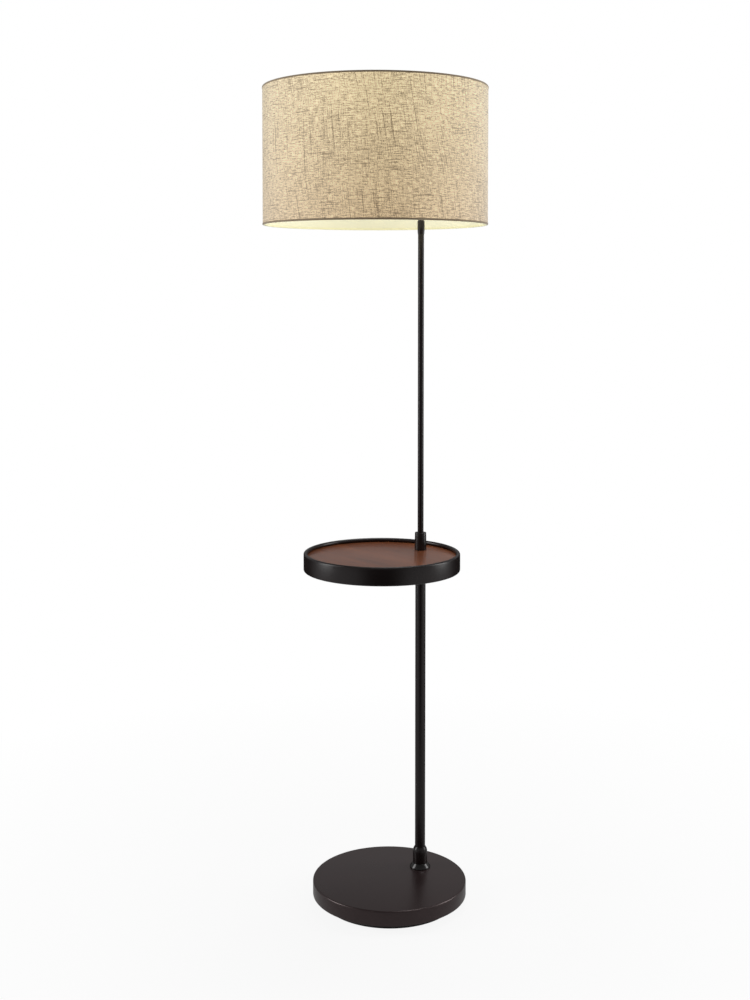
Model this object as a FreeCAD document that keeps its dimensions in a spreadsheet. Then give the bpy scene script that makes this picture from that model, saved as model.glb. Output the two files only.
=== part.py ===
import FreeCAD, Part
import os
import re
import Sketcher

# Floor lamp with a round table half way up its pole.
#
# Frame: the floor is z = 0, the middle of the round base is x = y = 0, and the front is -Y.
# The pole stands behind that middle; the tray and the shade lean forward from the pole.
# Each sub-part is drawn round its own origin and placed on its own axis and seat.

SIZES = {
    # base, from the floor up
    "pad_thickness": 2.0,
    "pad_margin": 4.0,
    "plinth_inset": 18.0,
    "plinth_height": 13.0,
    "plinth_wall": 3.0,
    "plinth_floor": 2.5,
    "rib_thickness": 2.5,
    "rib_inner": 20.0,
    "boss_radius": 6.0,
    "screw_circle": 92.0,
    "screw_radius": 2.0,
    "screw_length": 22.0,
    "screw_head_radius": 4.0,
    "screw_head_height": 2.2,
    "plate_sheet": 1.0,
    "base_radius": 140.0,
    "base_height": 26.3,
    "base_edge_radius": 3.0,
    "cover_sheet": 1.0,
    "lip_width": 6.0,
    "weight_chamfer": 2.4,
    "web_thickness": 6.3,
    "pocket_radius": 24.0,
    "inlet_height": 8.0,
    "bushing_radius": 4.9,
    "bushing_flange_radius": 6.6,
    "bushing_flange_thickness": 2.0,
    "bushing_chamfer": 1.0,
    "bushing_depth": 4.5,
    "lead_radius": 2.5,
    # pole axis behind the middle of the base, and fittings on the base
    "pole_back": 74.4,
    "flange_radius": 19.2,
    "flange_height": 9.0,
    "flange_edge": 2.0,
    "flange_neck_radius": 14.0,
    "ferrule_radius": 13.4,
    "ferrule_height": 30.0,
    "ferrule_shoulder": 9.5,
    "ferrule_lip": 0.6,
    # threaded tubes, nuts and plugs
    "nipple_radius": 5.0,
    "nipple_bore": 3.5,
    "nut_flat_radius": 8.5,
    "nut_height": 5.0,
    "nut_proud": 2.0,
    "washer_radius": 15.0,
    "washer_thickness": 2.0,
    "plug_length": 20.0,
    "thread_grip": 15.0,
    "lower_pole_radius": 9.5,
    "lower_pole_wall": 1.2,
    "upper_pole_radius": 5.5,
    "upper_pole_wall": 1.0,
    # tray
    "tray_forward": 92.4,
    "tray_underside": 612.1,
    "tray_radius": 141.3,
    "tray_height": 32.8,
    "tray_sheet": 1.2,
    "tray_corner_radius": 3.0,
    "curl_radius": 3.65,
    "board_play": 0.3,
    "collar_radius": 11.1,
    "collar_top_radius": 10.4,
    "collar_height": 32.4,
    "collar_edge": 0.8,
    # neck and arm
    "neck_level": 1219.0,
    "neck_length": 24.0,
    "neck_taper": 9.0,
    "neck_radius": 6.6,
    "neck_mouth_radius": 5.9,
    "neck_seat": 14.0,
    "shade_forward": 107.6,
    "arm_bend": 18.0,
    "arm_foot": 10.0,
    "arm_tip": 8.0,
    "hub_radius": 8.0,
    "hub_edge": 1.2,
    "hub_thread": 8.0,
    # lamp holder
    "cap_hub_radius": 7.2,
    "cap_hub_height": 5.2,
    "cap_radius": 17.0,
    "cap_height": 16.0,
    "cap_dome": 7.0,
    "cap_dome_radius": 12.0,
    "cap_sheet": 0.6,
    "core_seat": 0.24,
    "shell_wall": 0.5,
    "shell_height": 39.0,
    "body_height": 15.4,
    "sleeve_wall": 0.6,
    "screw_shell_radius": 13.9,
    "screw_shell_wall": 0.4,
    "screw_shell_height": 21.0,
    "screw_shell_opening": 5.6,
    "contact_radius": 4.0,
    "contact_height": 2.4,
    "contact_crown": 2.0,
    "contact_slope": 1.2,
    # turn switch
    "switch_rise": 8.6,
    "shaft_radius": 2.0,
    "shaft_depth": 6.0,
    "shaft_play": 0.08,
    "bush_radius": 4.5,
    "bush_length": 5.0,
    "bush_grip": 4.0,
    "knob_radius": 6.5,
    "knob_length": 14.0,
    "knob_edge": 1.0,
    "knob_gap": 0.6,
    "knob_seat": 9.8,
    "flute_radius": 0.9,
    # bulb
    "bulb_cap_radius": 13.1,
    "bulb_cap_height": 22.0,
    "bulb_cap_wall": 0.4,
    "bulb_tip_radius": 3.0,
    "bulb_tip_height": 1.6,
    "bulb_tip_sunk": 0.8,
    "bulb_tip_collar": 1.5,
    "bulb_insulator_height": 3.6,
    "bulb_insulator_radius": 10.4,
    "bulb_radius": 30.0,
    "bulb_neck_radius": 12.5,
    "bulb_neck_height": 5.0,
    "bulb_rise": 46.0,
    "glass_wall": 0.8,
    # harp, spider and finial
    "saddle_half_width": 24.0,
    "saddle_strip": 11.0,
    "saddle_sheet": 1.6,
    "post_height": 5.0,
    "harp_wire": 1.6,
    "harp_leg": 14.0,
    "harp_half_width": 50.0,
    "harp_flare_rise": 44.0,
    "harp_shoulder": 40.0,
    "harp_rise": 146.5,
    "sleeve_length": 12.0,
    "sleeve_thickness": 1.2,
    "stud_hub_radius": 5.5,
    "stud_roof": 1.2,
    "stud_radius": 3.2,
    "stud_length": 13.0,
    "spider_hub_radius": 10.0,
    "spider_hub_height": 3.4,
    "spider_wire": 1.5,
    "spider_bend": 10.0,
    "finial_radius": 7.0,
    "finial_height": 14.0,
    "finial_foot_radius": 5.8,
    "finial_foot_height": 1.1,
    "finial_waist_radius": 4.8,
    # shade
    "shade_level": 1231.9,
    "shade_height": 242.0,
    "shade_radius": 200.0,
    "hem_cloth": 0.5,
    "hem_drop": 4.4,
    "shade_cloth": 0.5,
    "liner_sheet": 0.5,
    "ring_wire": 1.4,
    # clearances between mating pieces
    "slip_play": 0.1,
    "hole_play": 0.4,
}
RIB_COUNT = 6
FLUTE_COUNT = 12
SCREW_COUNT = 3
SPIDER_ARMS = 3

# Axes: how far each axis stands from the middle of the base along Y.
POLE_Y = "pole_back"
TRAY_Y = "(pole_back - tray_forward)"
SHADE_Y = "(pole_back - shade_forward)"

# Levels above the floor, each built on what carries it.
PLATE_Z = "(pad_thickness + plinth_height)"
WEIGHT_Z = f"({PLATE_Z} + plate_sheet)"
COVER_Z = f"({PLATE_Z} - cover_sheet)"
BASE_TOP_Z = f"({COVER_Z} + base_height)"
WEIGHT_HEIGHT = "(base_height - 2 * cover_sheet - plate_sheet)"
POCKET_DEPTH = f"({WEIGHT_HEIGHT} - web_thickness)"
WASHER_Z = f"({WEIGHT_Z} + {POCKET_DEPTH} - washer_thickness)"
NUT_Z = f"({WASHER_Z} - nut_height)"
BASE_NIPPLE_Z = f"({NUT_Z} - nut_proud)"
POLE_Z = f"({BASE_TOP_Z} + flange_height)"
BOARD_TOP_Z = "(tray_underside + tray_height - 2 * curl_radius)"
UPPER_POLE_Z = f"({BOARD_TOP_Z} + thread_grip + slip_play)"
ARM_Z = "(neck_level + neck_seat)"
ARM_TOP_Z = f"({ARM_Z} + arm_foot + 2 * arm_bend + arm_tip)"
HUB_Z = f"({ARM_TOP_Z} - arm_tip)"
SADDLE_Z = f"({ARM_TOP_Z} + hub_thread)"
SOCKET_Z = f"({SADDLE_Z} + saddle_sheet)"
HARP_Z = f"({SOCKET_Z} + post_height)"
HARP_TOP_Z = f"({HARP_Z} + harp_rise)"
SPIDER_Z = f"({HARP_TOP_Z} + harp_wire + stud_roof)"
SHADE_TOP_Z = "(shade_level + shade_height)"
BOTTOM_RING_Z = "(shade_level + hem_cloth + slip_play + ring_wire)"
TOP_RING_Z = f"({SHADE_TOP_Z} - hem_cloth - slip_play - ring_wire)"

# Heights inside the lamp holder, above its seat on the saddle.
BODY_RISE = "(cap_hub_height + cap_dome + core_seat)"
FLOOR_RISE = f"({BODY_RISE} + body_height)"
SHAFT_RISE = f"({BODY_RISE} + switch_rise)"
TIP_RISE = f"({FLOOR_RISE} + contact_height)"
INSULATOR_RISE = f"({TIP_RISE} + bulb_tip_height - bulb_tip_sunk)"
BULB_CAP_RISE = f"({INSULATOR_RISE} + bulb_insulator_height)"
GLASS_RISE = f"({BULB_CAP_RISE} + bulb_cap_height - bulb_neck_height)"

# Radii that follow from a neighbour's.
PLINTH_RADIUS = "(base_radius - plinth_inset)"
PLATE_RADIUS = "(base_radius - cover_sheet - board_play)"
LOWER_BORE = "(lower_pole_radius - lower_pole_wall)"
UPPER_BORE = "(upper_pole_radius - upper_pole_wall)"
THREAD_BORE = "(nipple_radius + slip_play)"
NIPPLE_HOLE = "(nipple_radius + hole_play)"
LOWER_SOCKET = "(lower_pole_radius + slip_play)"
UPPER_SOCKET = "(upper_pole_radius + slip_play)"
SHELL_RADIUS = "(cap_radius - cap_sheet - slip_play)"
SHELL_BORE = f"({SHELL_RADIUS} - shell_wall)"
CLOTH_RADIUS = "(shade_radius - hem_cloth)"
LINER_RADIUS = f"({CLOTH_RADIUS} - shade_cloth)"
SHADE_BORE = f"({LINER_RADIUS} - liner_sheet)"
RING_MIDDLE = f"({SHADE_BORE} - slip_play - ring_wire)"
HEM_INNER = f"({SHADE_BORE} - 2 * slip_play - 2 * ring_wire - hem_cloth)"

LEFT, RIGHT = "left", "right"
WORD = re.compile(r"[a-z]+(?:_[a-z]+)*")
doc = FreeCAD.newDocument("FloorLamp")


def make_sheet():
    """List every size in the sheet, one row for each, under its own name."""
    sheet = doc.addObject("Spreadsheet::Sheet", "Sizes")
    for row, (name, size) in enumerate(SIZES.items(), start=1):
        sheet.set(f"A{row}", name)
        sheet.set(f"B{row}", str(size))
        sheet.setAlias(f"B{row}", name)
    doc.recompute()
    return sheet


sizes = make_sheet()


def bound(text):
    """Turn an expression in size names into one that reads the sheet's cells."""
    return WORD.sub(lambda word: "Sizes." + word.group() if word.group() in SIZES else word.group(), text)


def value(text):
    """Work out an expression in size names."""
    return float(sizes.evalExpression(bound(text)))


def follow(thing, field, text):
    """Tie one property of a feature to an expression in size names."""
    thing.setExpression(field, bound(text))


def make_body(label, y="0", z="0", x="0"):
    """Start a sub-part whose own origin stands at x, y, z."""
    body = doc.addObject("PartDesign::Body", label)
    body.Label = label
    for axis, text in (("x", x), ("y", y), ("z", z)):
        follow(body, f".Placement.Base.{axis}", text)
    return body


def make_sketch(body, name, plane="XZ_Plane", offset="0"):
    """Lay a sketch on one of the body's own origin planes, lifted off it by offset."""
    sketch = body.newObject("Sketcher::SketchObject", name)
    support = [feature for feature in body.Origin.OriginFeatures if feature.Role == plane]
    sketch.AttachmentSupport = [(support[0], "")]
    sketch.MapMode = "FlatFace"
    follow(sketch, ".AttachmentOffset.Base.z", offset)
    return sketch


def arc_between(start, end, radius, turn):
    """Make the arc of under half a circle from start to end, turning left or right."""
    chord = end - start
    reach = (radius ** 2 - chord.Length ** 2 / 4) ** 0.5
    side = FreeCAD.Vector(-chord.y, chord.x, 0).normalize() * (reach if turn == LEFT else -reach)
    centre = (start + end) / 2 + side
    first, last = (start, end) if turn == LEFT else (end, start)
    circle = Part.Circle(centre, FreeCAD.Vector(0, 0, 1), radius)
    return Part.ArcOfCircle(circle, circle.parameter(first), circle.parameter(last))


def constrain(sketch, rules):
    """Add constraints given as (arguments, expression) and tie each to its expression."""
    made = sketch.addConstraint([Sketcher.Constraint(*arguments) for arguments, text in rules])
    for index, (arguments, text) in zip(made, rules):
        if text:
            follow(sketch, f"Constraints[{index}]", text)


def draw(sketch, corners, closed=True):
    """Join corners with straight stretches, and with arcs where a corner names one.

    A corner is (across, up), or (across, up, radius, turn) where the stretch that
    ends at it is an arc of that radius, turning LEFT or RIGHT on its way.
    """
    points = [FreeCAD.Vector(value(corner[0]), value(corner[1]), 0) for corner in corners]
    stretches, rules = [], []
    for number in range(0 if closed else 1, len(corners)):
        start, end = points[number - 1], points[number]
        if len(corners[number]) == 2:
            index = sketch.addGeometry(Part.LineSegment(start, end))
            stretches.append((number, index, 1, 2))
        else:
            radius, turn = corners[number][2:]
            index = sketch.addGeometry(arc_between(start, end, value(radius), turn))
            stretches.append((number, index) + ((1, 2) if turn == LEFT else (2, 1)))
            rules.append((("Radius", index, value(radius)), radius))
    for before, after in zip(stretches, stretches[1:] + (stretches[:1] if closed else [])):
        rules.append((("Coincident", before[1], before[3], after[1], after[2]), ""))
    pinned = [(number, index, end) for number, index, start, end in stretches]
    if not closed:
        pinned.append((0, stretches[0][1], stretches[0][2]))
    for number, index, vertex in pinned:
        across, up = corners[number][:2]
        rules.append((("DistanceX", -1, 1, index, vertex, value(across)), across))
        rules.append((("DistanceY", -1, 1, index, vertex, value(up)), up))
    constrain(sketch, rules)


def circle(sketch, radius, across="0", up="0"):
    """Draw one circle in a sketch."""
    centre = FreeCAD.Vector(value(across), value(up), 0)
    index = sketch.addGeometry(Part.Circle(centre, FreeCAD.Vector(0, 0, 1), value(radius)))
    constrain(sketch, [
        (("Radius", index, value(radius)), radius),
        (("DistanceX", -1, 1, index, 3, value(across)), across),
        (("DistanceY", -1, 1, index, 3, value(up)), up),
    ])


def feature(body, kind, sketch, **settings):
    """Add a sketched feature of a kind such as Pad, Pocket or Groove."""
    made = body.newObject("PartDesign::" + kind, kind + sketch.Name)
    made.Profile = sketch
    for name, setting in settings.items():
        setattr(made, name, setting)
    return made


def turned(body, corners, name="Profile", plane="XZ_Plane"):
    """Spin a half outline round Z, or round Y where it is drawn on the YZ plane."""
    sketch = make_sketch(body, body.Name + name, plane)
    draw(sketch, corners)
    axis = "V_Axis" if plane == "XZ_Plane" else "H_Axis"
    return feature(body, "Revolution", sketch, ReferenceAxis=(sketch, [axis]), Angle=360)


def padded(body, sketch, height):
    """Raise a sketch to a height above its plane."""
    pad = feature(body, "Pad", sketch)
    follow(pad, "Length", height)
    return pad


def ring_outline(inner, outer, bottom, top):
    """Give the outline of a plain ring or disc."""
    return [(inner, bottom), (outer, bottom), (outer, top), (inner, top)]


def drilled(body, name, radius, across="0", up="0", plane="XY_Plane", offset="0", depth=""):
    """Cut a round hole along a plane's normal, or both ways right through without a depth."""
    before = volume_of(body)
    sketch = make_sketch(body, body.Name + name, plane, offset)
    circle(sketch, radius, across, up)
    if depth:
        hole = feature(body, "Pocket", sketch, Reversed=True)
        follow(hole, "Length", depth)
    else:
        hole = feature(body, "Pocket", sketch, Type="ThroughAll", SideType="Symmetric")
    if volume_of(body) >= before - 0.01:
        raise ValueError(f"{body.Label}: {name} cuts nothing")
    return hole


def volume_of(body):
    """Measure a body after bringing it up to date."""
    doc.recompute()
    return body.Shape.Volume


def tube(label, radius, bore, length, z, y=POLE_Y):
    """Make a plain straight tube that stands on its lower end."""
    body = make_body(label, y, z)
    turned(body, ring_outline(bore, radius, "0", length))
    return body


def repeated(body, features, count, role="Z_Axis"):
    """Repeat features evenly round one of the body's own axes."""
    pattern = body.newObject("PartDesign::PolarPattern", body.Name + "Pattern")
    pattern.Originals = features
    axis = [part for part in body.Origin.OriginFeatures if part.Role == role][0]
    pattern.Axis = (axis, [""])
    pattern.Angle = 360
    pattern.Occurrences = count
    body.Tip = pattern
    return pattern


def piped(body, path, section):
    """Sweep a section along a path."""
    pipe = body.newObject("PartDesign::AdditivePipe", body.Name + "Pipe")
    pipe.Profile = section
    pipe.Spine = path
    return pipe


# ---- base -------------------------------------------------------------------------------


def make_foot_pad():
    """Soft pad glued under the plinth."""
    body = make_body("foot_pad")
    turned(body, ring_outline("0", f"{PLINTH_RADIUS} - pad_margin", "0", "pad_thickness"))


def make_plinth():
    """Moulded spacer under the base disc, with ribs, screw bosses and the lead's inlet."""
    body = make_body("plinth", z="pad_thickness")
    bore = f"{PLINTH_RADIUS} - plinth_wall"
    turned(body, [("0", "0"), (PLINTH_RADIUS, "0"), (PLINTH_RADIUS, "plinth_height"),
                  (bore, "plinth_height"), (bore, "plinth_floor"), ("0", "plinth_floor")])
    turned(body, ring_outline("rib_inner", "rib_inner + rib_thickness", "0", "plinth_height"), "Hub")
    rib = make_sketch(body, "PlinthRib", "XY_Plane")
    half = "0.5 * rib_thickness"
    draw(rib, ring_outline(f"rib_inner + {half}", f"{bore} + {half}", f"-{half}", half))
    ribs = [padded(body, rib, "plinth_height")]
    repeated(body, ribs, RIB_COUNT)
    boss = make_sketch(body, "PlinthBoss", "XY_Plane")
    circle(boss, "boss_radius", "0", "-screw_circle")
    repeated(body, [padded(body, boss, "plinth_height")], SCREW_COUNT)
    holes = [
        drilled(body, "ScrewHole", "screw_radius + hole_play", up="-screw_circle"),
        drilled(body, "HeadRecess", "screw_head_radius + hole_play", up="-screw_circle",
                depth="screw_head_height"),
    ]
    repeated(body, holes, SCREW_COUNT)
    drilled(body, "Inlet", "bushing_radius + slip_play", up="inlet_height - pad_thickness",
            plane="XZ_Plane", offset=f"-({PLINTH_RADIUS} + plinth_wall)", depth="3 * plinth_wall")


def make_plinth_screws():
    """Screws that hold the plinth up to the plate and the weight, heads downwards."""
    body = make_body("plinth_screws", z="pad_thickness")
    body.AllowCompound = True
    pads = []
    for name, radius, length in (("Head", "screw_head_radius", "screw_head_height"),
                                 ("Shank", "screw_radius", "screw_length")):
        sketch = make_sketch(body, "Screw" + name, "XY_Plane")
        circle(sketch, radius, "0", "-screw_circle")
        pads.append(padded(body, sketch, length))
    repeated(body, pads, SCREW_COUNT)


def make_bottom_plate():
    """Steel plate that closes the base cover from below."""
    body = make_body("bottom_plate", z=PLATE_Z)
    turned(body, ring_outline("0", PLATE_RADIUS, "0", "plate_sheet"))
    drilled(body, "NutOpening", "pocket_radius", up="pole_back")
    hole = drilled(body, "ScrewHole", "screw_radius + hole_play", up="-screw_circle")
    repeated(body, [hole], SCREW_COUNT)


def make_base_weight():
    """Cast weight inside the cover, with a deep pocket for the nut under the pole."""
    body = make_body("base_weight", z=WEIGHT_Z)
    turned(body, [("0", "0"), (PLATE_RADIUS, "0"), (PLATE_RADIUS, f"{WEIGHT_HEIGHT} - weight_chamfer"),
                  (f"{PLATE_RADIUS} - weight_chamfer", WEIGHT_HEIGHT), ("0", WEIGHT_HEIGHT)])
    drilled(body, "NippleHole", NIPPLE_HOLE, up="pole_back")
    drilled(body, "NutPocket", "pocket_radius", up="pole_back", depth=POCKET_DEPTH)
    depth = f"pad_thickness + screw_length + hole_play - {WEIGHT_Z}"
    hole = drilled(body, "ScrewHole", "screw_radius + hole_play", up="-screw_circle", depth=depth)
    repeated(body, [hole], SCREW_COUNT)


def make_base_cover():
    """Spun steel cover, its lower lip rolled in under the bottom plate."""
    body = make_body("base_cover", z=COVER_Z)
    shoulder = "base_height - base_edge_radius"
    turned(body, [
        ("0", "base_height"),
        ("base_radius - base_edge_radius", "base_height"),
        ("base_radius", shoulder, "base_edge_radius", RIGHT),
        ("base_radius", "0"),
        ("base_radius - lip_width", "0"),
        ("base_radius - lip_width", "cover_sheet"),
        ("base_radius - cover_sheet", "cover_sheet"),
        ("base_radius - cover_sheet", shoulder),
        ("base_radius - base_edge_radius", "base_height - cover_sheet",
         "base_edge_radius - cover_sheet", LEFT),
        ("0", "base_height - cover_sheet"),
    ])
    drilled(body, "NippleHole", NIPPLE_HOLE, up="pole_back")


def make_cord_bushing():
    """Snap bushing through the plinth's back wall, where a mains lead would enter."""
    body = make_body("cord_bushing", PLINTH_RADIUS, "inlet_height")
    bore = "lead_radius + slip_play"
    turned(body, [
        ("-bushing_depth", bore),
        ("bushing_flange_thickness", bore),
        ("bushing_flange_thickness", "bushing_radius"),
        ("bushing_flange_thickness - bushing_chamfer", "bushing_flange_radius"),
        ("0", "bushing_flange_radius"),
        ("0", "bushing_radius"),
        ("-bushing_depth", "bushing_radius"),
    ], plane="YZ_Plane")


def make_base_fastening():
    """Hollow threaded tube, washer and nut that pull the pole down on the base."""
    tube("base_nipple", "nipple_radius", "nipple_bore", f"{POLE_Z} + thread_grip - {BASE_NIPPLE_Z}",
         BASE_NIPPLE_Z)
    tube("base_washer", "washer_radius", NIPPLE_HOLE, "washer_thickness", WASHER_Z)
    body = make_body("base_nut", POLE_Y, NUT_Z)
    sketch = make_sketch(body, "NutOutline", "XY_Plane")
    corner = "nut_flat_radius / cos(30 deg)"
    turns = [f"{60 * number} deg" for number in range(6)]
    draw(sketch, [(f"{corner} * cos({turn})", f"{corner} * sin({turn})") for turn in turns])
    padded(body, sketch, "nut_height")
    drilled(body, "Thread", THREAD_BORE)


def make_base_fittings():
    """Flared flange under the pole, and the ferrule with a rounded shoulder round its foot."""
    body = make_body("base_flange", POLE_Y, BASE_TOP_Z)
    turned(body, [(NIPPLE_HOLE, "0"), ("flange_radius", "0"), ("flange_radius", "flange_edge"),
                  ("flange_neck_radius", "flange_height"), (NIPPLE_HOLE, "flange_height")])
    body = make_body("pole_ferrule", POLE_Y, POLE_Z)
    lip, rise = f"({LOWER_SOCKET} + ferrule_lip)", "ferrule_shoulder"
    step = f"(ferrule_radius - {lip})"
    curve = f"(({step}^2 + {rise}^2) / (2 * {step}))"
    turned(body, [(LOWER_SOCKET, "0"), ("ferrule_radius", "0"),
                  ("ferrule_radius", f"ferrule_height - {rise}"), (lip, "ferrule_height", curve, LEFT),
                  (LOWER_SOCKET, "ferrule_height")])


# ---- poles and tray ---------------------------------------------------------------------


def make_lower_pole():
    """Thick tube from the base to the tray, with a threaded plug pressed into each end."""
    length = f"(tray_underside - {POLE_Z})"
    tube("lower_pole", "lower_pole_radius", LOWER_BORE, length, POLE_Z)
    plug = f"{LOWER_BORE} - slip_play"
    tube("base_plug", plug, THREAD_BORE, "plug_length", POLE_Z)
    tube("tray_plug", plug, THREAD_BORE, "plug_length", "tray_underside - plug_length")


def make_tray_pan():
    """Spun pan whose edge is curled inwards over the board."""
    body = make_body("tray_pan", TRAY_Y, "tray_underside")
    bead, bore = "curl_radius", "(curl_radius - tray_sheet)"
    middle, level = "tray_radius - curl_radius", "tray_height - curl_radius"
    turned(body, [
        ("0", "0"),
        ("tray_radius - tray_corner_radius", "0"),
        ("tray_radius", "tray_corner_radius", "tray_corner_radius", LEFT),
        ("tray_radius", level),
        (middle, "tray_height", bead, LEFT),
        (f"{middle} - {bead}", level, bead, LEFT),
        (middle, f"{level} - {bead}", bead, LEFT),
        (middle, f"{level} - {bore}"),
        (f"{middle} - {bore}", level, bore, RIGHT),
        (middle, f"{level} + {bore}", bore, RIGHT),
        ("tray_radius - tray_sheet", level, bore, RIGHT),
        ("tray_radius - tray_sheet", "tray_corner_radius"),
        ("tray_radius - tray_corner_radius", "tray_sheet", "tray_corner_radius - tray_sheet", RIGHT),
        ("0", "tray_sheet"),
    ])
    drilled(body, "NippleHole", NIPPLE_HOLE, up="tray_forward")


def make_tray_board():
    """Veneered board that lies in the pan, under the curled edge."""
    body = make_body("tray_board", TRAY_Y, "tray_underside + tray_sheet")
    radius = "(tray_radius - tray_sheet - board_play)"
    height = "tray_height - 2 * curl_radius - tray_sheet"
    turned(body, [("0", "0"), (f"{radius} - tray_corner_radius + tray_sheet", "0"),
                  (radius, "tray_corner_radius - tray_sheet"), (radius, height), ("0", height)])
    drilled(body, "NippleHole", NIPPLE_HOLE, up="tray_forward")


def make_tray_fastening():
    """Threaded tube through the tray, and the collar that clamps it and holds the thin pole."""
    tube("tray_nipple", "nipple_radius", "nipple_bore", f"{BOARD_TOP_Z} - tray_underside + 2 * thread_grip",
         "tray_underside - thread_grip")
    body = make_body("tray_collar", POLE_Y, BOARD_TOP_Z)
    turned(body, [
        (THREAD_BORE, "0"),
        ("collar_radius", "0"),
        ("collar_top_radius", "collar_height - collar_edge"),
        ("collar_top_radius - collar_edge", "collar_height"),
        (UPPER_SOCKET, "collar_height"),
        (UPPER_SOCKET, "thread_grip"),
        (THREAD_BORE, "thread_grip"),
    ])


def make_upper_pole():
    """Thin tube from the collar up into the neck."""
    tube("upper_pole", "upper_pole_radius", UPPER_BORE, f"{ARM_Z} - slip_play - {UPPER_POLE_Z}", UPPER_POLE_Z)


def make_neck():
    """Sleeve that joins the thin pole to the arm, tapered at its mouth."""
    body = make_body("neck_coupling", POLE_Y, "neck_level")
    turned(body, [
        (UPPER_SOCKET, "0"),
        ("neck_mouth_radius", "0"),
        ("neck_radius", "neck_taper"),
        ("neck_radius", "neck_length - collar_edge"),
        ("neck_radius - collar_edge", "neck_length"),
        (UPPER_SOCKET, "neck_length"),
    ])


def make_lamp_arm():
    """Bent tube that carries the lamp holder from the pole forward to the shade's middle."""
    body = make_body("lamp_arm", POLE_Y, ARM_Z)
    path = make_sketch(body, "ArmPath", "YZ_Plane")
    draw(path, arm_route("0", "0"), closed=False)
    section = make_sketch(body, "ArmSection", "XY_Plane")
    circle(section, "upper_pole_radius")
    circle(section, UPPER_BORE)
    piped(body, path, section)


def arm_route(across, up, tip="arm_tip"):
    """Give the bends from the pole to the shade's axis, starting at a point on the pole's axis."""
    run, high = f"{up} + arm_foot + arm_bend", f"{up} + arm_foot + 2 * arm_bend"
    return [
        (across, up),
        (across, f"{up} + arm_foot"),
        (f"{across} - arm_bend", run, "arm_bend", LEFT),
        (f"{across} - shade_forward + arm_bend", run),
        (f"{across} - shade_forward", high, "arm_bend", RIGHT),
        (f"{across} - shade_forward", f"{high} + {tip}"),
    ]


def make_arm_hub():
    """Hub on the arm's tip, threaded for the lamp holder's nipple."""
    body = make_body("arm_hub", SHADE_Y, HUB_Z)
    height = "arm_tip + hub_thread"
    turned(body, [
        (UPPER_SOCKET, "0"),
        ("hub_radius - hub_edge", "0"),
        ("hub_radius", "hub_edge"),
        ("hub_radius", f"{height} - hub_edge"),
        ("hub_radius - hub_edge", height),
        (THREAD_BORE, height),
        (THREAD_BORE, "arm_tip"),
        (UPPER_SOCKET, "arm_tip"),
    ])


def make_inner_lead():
    """Twin lead that runs from the inlet through both poles and the arm to the lamp holder."""
    body = make_body("inner_lead", PLINTH_RADIUS, "inlet_height")
    axis, bend = f"-({PLINTH_RADIUS} - pole_back)", f"({BASE_NIPPLE_Z} - inlet_height)"
    tip = "(arm_tip + hub_thread + saddle_sheet + cap_hub_height + nut_proud)"
    route = arm_route(axis, f"{ARM_Z} - inlet_height", tip)
    path = make_sketch(body, "LeadPath", "YZ_Plane")
    draw(path, [("0", "0"), (f"{axis} + {bend}", "0"), (axis, bend, bend, RIGHT)] + route[1:], closed=False)
    section = make_sketch(body, "LeadSection", "XZ_Plane")
    circle(section, "lead_radius")
    piped(body, path, section)


# ---- lamp holder, switch and bulb -------------------------------------------------------


def make_socket_metal():
    """Cap and shell of the lamp holder, and the nipple that screws it to the hub."""
    length = "hub_thread + saddle_sheet + cap_hub_height + nut_proud"
    tube("socket_nipple", "nipple_radius", "nipple_bore", length, ARM_TOP_Z, SHADE_Y)
    body = make_body("socket_cap", SHADE_Y, SOCKET_Z)
    bore, shoulder = "cap_radius - cap_sheet", "cap_hub_height + cap_dome"
    turned(body, [
        (THREAD_BORE, "0"),
        ("cap_hub_radius", "0"),
        ("cap_hub_radius", "cap_hub_height"),
        ("cap_radius", shoulder, "cap_dome_radius", LEFT),
        ("cap_radius", "cap_height"),
        (bore, "cap_height"),
        (bore, shoulder),
        ("cap_hub_radius", "cap_hub_height + cap_sheet", "cap_dome_radius", RIGHT),
        (THREAD_BORE, "cap_hub_height + cap_sheet"),
    ])
    body = make_body("socket_shell", SHADE_Y, f"{SOCKET_Z} + {BODY_RISE}")
    turned(body, ring_outline(SHELL_BORE, SHELL_RADIUS, "0", "shell_height"))
    drilled(body, "BushHole", "bush_radius + slip_play", up="switch_rise", plane="XZ_Plane",
            depth="cap_radius")


def make_socket_core():
    """Moulded core, card sleeve, screw shell and middle contact inside the shell."""
    body = make_body("socket_core", SHADE_Y, f"{SOCKET_Z} + {BODY_RISE}")
    radius = f"({SHELL_BORE} - slip_play)"
    turned(body, ring_outline("0", radius, "0", "body_height"))
    drilled(body, "BushRecess", "bush_radius + slip_play", up="switch_rise", plane="XZ_Plane",
            offset=f"{SHELL_BORE} - bush_grip", depth="cap_radius")
    drilled(body, "ShaftRecess", "shaft_radius + hole_play", up="switch_rise", plane="XZ_Plane",
            offset=f"{SHELL_BORE} - bush_grip - shaft_depth - hole_play", depth="cap_radius")
    floor = f"{SOCKET_Z} + {FLOOR_RISE}"
    tube("socket_sleeve", radius, f"{radius} - sleeve_wall", "screw_shell_height", floor, SHADE_Y)
    body = make_body("screw_shell", SHADE_Y, floor)
    bore = "screw_shell_radius - screw_shell_wall"
    turned(body, [("screw_shell_opening", "0"), ("screw_shell_radius", "0"),
                  ("screw_shell_radius", "screw_shell_height"), (bore, "screw_shell_height"),
                  (bore, "screw_shell_wall"), ("screw_shell_opening", "screw_shell_wall")])
    body = make_body("centre_contact", SHADE_Y, floor)
    turned(body, [("0", "0"), ("contact_radius", "0"), ("contact_radius", "contact_height - contact_slope"),
                  ("contact_crown", "contact_height"), ("0", "contact_height")])


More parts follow.
